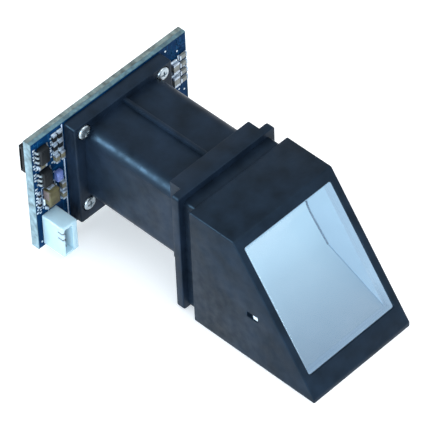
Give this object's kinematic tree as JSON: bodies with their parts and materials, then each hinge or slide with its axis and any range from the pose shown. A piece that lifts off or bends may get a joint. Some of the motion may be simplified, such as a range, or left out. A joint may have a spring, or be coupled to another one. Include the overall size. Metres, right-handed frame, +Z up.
{
  "type": "optical fingerprint reader module",
  "caption": "Black prism head with a sloped finger window, panel groove and collar, square lens tube and a blue circuit board with a white socket.",
  "frame": {"origin": "middle of the panel groove: on the centre line, midway between the head's rear face and the collar's front face, level with the head's base", "axes": "+Z up, +Y along the lens tube from the finger window to the circuit board, +X across the width; the finger window faces -Y and up"},
  "size_m": [0.0324, 0.0545, 0.0238],
  "materials": {
    "black_plastic": "satin moulded black plastic",
    "prism_glass": "polished optical glass",
    "black_rubber": "matt black foam",
    "white_plastic": "matt white plastic",
    "clear_guide": "frosted clear acrylic",
    "green_board": "green solder mask",
    "led_lens": "clear resin",
    "chip_black": "moulded epoxy",
    "wire_red": "insulated wire",
    "black_anodised": "black anodised",
    "lens_glass": "coated lens glass",
    "filter_glass": "blue filter glass",
    "tin_metal": "tinned metal",
    "blue_board": "dark blue solder mask over glass laminate",
    "screw_steel": "nickel plated steel",
    "socket_white": "natural white nylon",
    "gold_plate": "plated contact",
    "capacitor_tan": "moulded tan epoxy",
    "varistor_blue": "glazed",
    "ceramic_brown": "fired ceramic with tinned ends"
  },
  "bodies": {
    "module": {"head_housing": "black_plastic", "base_cover": "black_plastic", "prism": "prism_glass", "window_seals": "black_rubber", "reflector": "white_plastic", "light_guide": "clear_guide", "led_board": "green_board", "leds": "led_lens", "led_resistor": "chip_black", "led_leads": "wire_red", "field_mask": "black_plastic", "lens_tube": "black_plastic", "lens_holder": "black_plastic", "sensor_shroud": "black_plastic", "ir_filter": "filter_glass", "image_sensor": "chip_black", "sensor_glass": "lens_glass", "light_seal": "black_rubber", "main_board": "blue_board", "board_screws": "screw_steel", "socket_shell": "socket_white", "socket_pins": "gold_plate", "tantalum_capacitor": "capacitor_tan", "regulator": "chip_black", "interface_chip": "chip_black", "blue_varistor": "varistor_blue", "left_resistors": "chip_black", "left_capacitors": "ceramic_brown", "right_parts": "ceramic_brown", "rear_socket": "chip_black", "processor": "chip_black", "flash_memory": "chip_black", "crystal": "tin_metal", "inductor": "chip_black", "rear_capacitors": "ceramic_brown"},
    "focus_lens": {"lens_barrel": "black_anodised", "front_lens": "lens_glass", "aperture_stop": "tin_metal", "rear_lens": "lens_glass", "lens_retainer": "black_anodised"}
  },
  "joints": [
    {"name": "focus_turn", "type": "hinge", "parent": "module", "child": "focus_lens", "pos_m": [0, 0.01023, 0.01465], "axis": [0, 1, 0], "range_deg": [-180, 180]}
  ]
}
